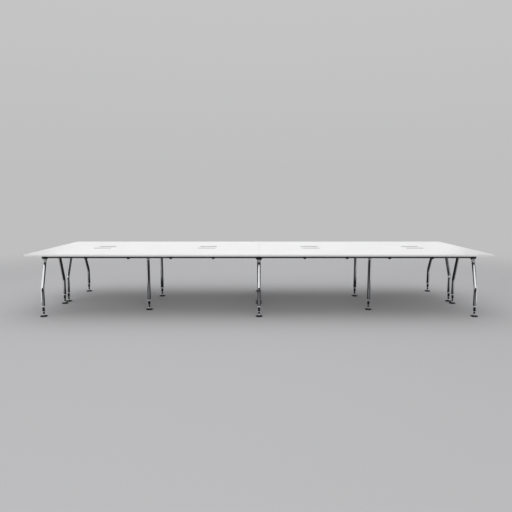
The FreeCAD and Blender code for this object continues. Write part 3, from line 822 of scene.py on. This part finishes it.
def soft_lamp(name, point, target, size, energy):
    lamp = bpy.data.lights.new(name, "AREA")
    lamp.shape = "RECTANGLE"
    lamp.size, lamp.size_y = size
    lamp.energy = energy
    item = new_object(name, lamp)
    item.location = point
    item.rotation_euler = (Vector(target) - item.location).to_track_quat("-Z", "Y").to_euler()
    item.visible_camera = False
    return item


class BENCHDESK_OT_worktops(bpy.types.Operator):
    """Finish the two worktops and their edge strips"""

    bl_idname = "bench_desk.worktops"
    bl_label = "Worktops"

    def execute(self, context):
        look = context.scene.bench_desk_worktop
        dress(laminate(look), "top_left", "top_right")
        dress(edge_strip(look), "edge_bands")
        return {"FINISHED"}


class BENCHDESK_OT_rails(bpy.types.Operator):
    """Finish the rails, the beams, the worktop clamps and the cable trays"""

    bl_idname = "bench_desk.rails"
    bl_label = "Rails, beams and trays"

    def execute(self, context):
        look = context.scene.bench_desk_frame
        dress(powder_coat("rail_grey_finish", look, look.rail, seed=81.0),
              "rail_front", "rail_back", "inner_rail_front", "inner_rail_back")
        dress(powder_coat("clamp_black_finish", look, look.clamp, seed=82.0), "top_clamps")
        dress(powder_coat("tray_grey_finish", look, look.tray, seed=83.0), "cable_trays")
        dress(anodised(look), "cross_beams", "support_beams")
        return {"FINISHED"}


class BENCHDESK_OT_legs(bpy.types.Operator):
    """Finish the leg heads, sockets, collars and chrome tubes"""

    bl_idname = "bench_desk.legs"
    bl_label = "Legs"

    def execute(self, context):
        look = context.scene.bench_desk_leg
        dress(chrome(look), *named("leg_"))
        dress(satin_collar(look), "leg_collars")
        dress(cast_black(context.scene.bench_desk_frame), "leg_heads", "leg_sockets")
        return {"FINISHED"}


class BENCHDESK_OT_feet(bpy.types.Operator):
    """Finish the sixteen telescopic feet"""

    bl_idname = "bench_desk.feet"
    bl_label = "Feet"

    def execute(self, context):
        dress(foot_finish(context.scene.bench_desk_leg), *named("foot_"))
        return {"FINISHED"}


class BENCHDESK_OT_outlets(bpy.types.Operator):
    """Finish the outlet frames and their lids"""

    bl_idname = "bench_desk.outlets"
    bl_label = "Cable outlets"

    def execute(self, context):
        look = context.scene.bench_desk_outlet
        dress(moulding("outlet_white_finish", look, look.frame, seed=91.0), "outlet_frames")
        dress(moulding("lid_white_finish", look, look.lid, seed=92.0), *named("lid_"))
        return {"FINISHED"}


class BENCHDESK_OT_fixings(bpy.types.Operator):
    """Finish the screws, the hinge pins and the dowels in the seam"""

    bl_idname = "bench_desk.fixings"
    bl_label = "Screws, pins and dowels"

    def execute(self, context):
        look = context.scene.bench_desk_frame
        dress(zinc(look), "fixing_screws", "hinge_pins")
        dress(beech_wood(look), "seam_dowels")
        return {"FINISHED"}


class BENCHDESK_OT_brushes(bpy.types.Operator):
    """Make the brush in each cable slot, bristle by bristle"""

    bl_idname = "bench_desk.brushes"
    bl_label = "Cable brushes"

    def maker(self, places):
        """Points at the brushes' feet that know how each brush is turned."""
        mesh = mesh_of("brush_places", [point for point, turn in places], [])
        turns = mesh.attributes.new("turn", "FLOAT", "POINT")
        turns.data.foreach_set("value", [turn for point, turn in places])
        return new_object("brush_maker", mesh)

    def execute(self, context):
        look = context.scene.bench_desk_outlet
        places = brush_places()
        maker = self.maker(places)
        holder_finish = moulding("brush_holder_finish", look, look.brush, seed=93.0)
        strand_finish = bristle_finish(look)
        tree = BrushTree(brush_values(look, places))
        tree.finish(((tree.holders(), holder_finish), (tree.bristles(), strand_finish)))
        tree.use_on(maker)
        brushes = plain_mesh(maker, "cable_brushes")
        if not brushes.data.polygons:
            raise RuntimeError("the brushes came out empty")
        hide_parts("brush_strips")
        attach(brushes, "frame")
        return {"FINISHED"}


class BENCHDESK_OT_stage(bpy.types.Operator):
    """Set the floor, the backdrop, the soft lamps and the camera"""

    bl_idname = "bench_desk.stage"
    bl_label = "Stage"

    def floor(self, look):
        shape = bmesh.new()
        bmesh.ops.create_circle(shape, cap_ends=True, segments=FLOOR_SIDES, radius=look.fade_end)
        mesh = bpy.data.meshes.new("floor")
        shape.to_mesh(mesh)
        shape.free()
        mesh.materials.append(fading_floor(look))
        new_object("floor", mesh)

    def dark_sheet(self, look):
        """Sheet of painted shade that only polished metal sees: dark below the desk and up its long
        sides, standing in for the shade there, dim low in front.
        """
        (x0, y0, z0), (x1, y1, z1) = CAD_BOX
        ends = (x0 - look.sheet_past, x1 + look.sheet_past)
        front = y0 - look.sheet_gap
        back = y1 + look.sheet_gap
        floor = z0 + MILLIMETRE
        profile = ((front, look.sheet_high), (front, look.dim_high), (front, floor),
                   (y0, floor), (back, floor), (back, look.sheet_high))
        points = [(x, y, z) for y, z in profile for x in ends]
        faces = [(i, i + 1, i + 3, i + 2) for i in range(0, len(points) - 2, 2)]
        mesh = mesh_of("dark_sheet", points, faces)
        mesh.materials.append(matt("dark_sheet_finish", look.dark))
        mesh.materials.append(matt("dim_sheet_finish", look.dim))
        for face in mesh.polygons:
            face.material_index = int(face.center.y < y0 and face.center.z < look.dim_high)
        item = new_object("dark_sheet", mesh)
        item.visible_camera = False
        item.visible_diffuse = False
        item.visible_transmission = False
        item.visible_shadow = False

    def sky(self, look):
        """Plain backdrop, which polished surfaces mirror dimmer."""
        world = bpy.data.worlds.new("sky")
        world.use_nodes = True
        sheet = Sheet(world.node_tree)
        height = upright_part(sheet, "Generated")
        rise = sheet.node(
            "ShaderNodeMapRange", {},
            {"Value": height, "From Min": look.sky_low, "From Max": look.sky_high})
        tone = mixed(sheet, rise, opaque(look.sky), opaque(look.zenith))
        light = sheet.node("ShaderNodeBackground", {}, {"Color": tone, "Strength": 1.0})
        dimmer = sheet.node("ShaderNodeBackground", {}, {"Color": tone, "Strength": look.mirrored})
        glossy = sheet.node("ShaderNodeLightPath", output="Is Glossy Ray")
        shown = sheet.node("ShaderNodeMixShader", {}, {0: glossy, 1: light, 2: dimmer})
        sheet.node("ShaderNodeOutputWorld", {}, {"Surface": shown})
        bpy.context.scene.world = world

    def camera(self, look):
        lens = bpy.data.cameras.new("camera")
        lens.lens = look.lens
        lens.sensor_width = look.sensor
        item = new_object("camera", lens)
        item.location = look.eye
        item.rotation_euler = (math.pi / 2 - look.pitch, 0.0, 0.0)
        bpy.context.scene.camera = item

    def lamps(self, look):
        for name in ("ceiling", "front", "side", "back"):
            soft_lamp(name + "_lamp", getattr(look, name + "_place"), look.aim,
                      getattr(look, name + "_size"), getattr(look, name + "_power"))

    def strips(self, look):
        """Low strip lamps beyond both ends, which only draw bright lines in the chrome."""
        (x0, y0, z0), (x1, y1, z1) = CAD_BOX
        across = y0 - look.strip_ahead
        height = look.sheet_high / 2
        size = (look.strip_length, look.sheet_high)
        for name, along in (("left_strip", x0 - look.strip_gap), ("right_strip", x1 + look.strip_gap)):
            point = (along, across, height)
            strip = soft_lamp(name, point, (0.0, across, height), size, look.strip_power)
            strip.visible_diffuse = False

    def execute(self, context):
        look = context.scene.bench_desk_stage
        self.floor(look)
        self.dark_sheet(look)
        self.sky(look)
        self.camera(look)
        self.lamps(look)
        self.strips(look)
        context.scene.view_settings.view_transform = "Standard"
        return {"FINISHED"}


OPERATORS = (
    BENCHDESK_OT_worktops,
    BENCHDESK_OT_rails,
    BENCHDESK_OT_legs,
    BENCHDESK_OT_feet,
    BENCHDESK_OT_outlets,
    BENCHDESK_OT_fixings,
    BENCHDESK_OT_brushes,
    BENCHDESK_OT_stage,
)

LOOKS = {
    "bench_desk_worktop": WorktopLook,
    "bench_desk_frame": FrameLook,
    "bench_desk_leg": LegLook,
    "bench_desk_outlet": OutletLook,
    "bench_desk_stage": StageLook,
}


class BENCHDESK_PT_panel(bpy.types.Panel):
    """Sizes, colours and steps of the bench desk"""

    bl_idname = "BENCHDESK_PT_panel"
    bl_label = "Bench desk"
    bl_space_type = "VIEW_3D"
    bl_region_type = "UI"
    bl_category = "Bench desk"

    def draw(self, context):
        for operator in OPERATORS:
            self.layout.operator(operator.bl_idname)
        for name in LOOKS:
            look = getattr(context.scene, name)
            column = self.layout.box().column()
            for key in look.__annotations__:
                column.prop(look, key)


def register():
    for item in (*LOOKS.values(), *OPERATORS, BENCHDESK_PT_panel):
        bpy.utils.register_class(item)
    for name, look in LOOKS.items():
        setattr(bpy.types.Scene, name, PointerProperty(type=look))


def unregister():
    for name in LOOKS:
        delattr(bpy.types.Scene, name)
    for item in (BENCHDESK_PT_panel, *reversed(OPERATORS), *LOOKS.values()):
        bpy.utils.unregister_class(item)


def main():
    register()
    bpy.ops.bench_desk.worktops()
    bpy.ops.bench_desk.rails()
    bpy.ops.bench_desk.legs()
    bpy.ops.bench_desk.feet()
    bpy.ops.bench_desk.outlets()
    bpy.ops.bench_desk.fixings()
    bpy.ops.bench_desk.brushes()
    bpy.ops.bench_desk.stage()


if __name__ == "__main__":
    main()
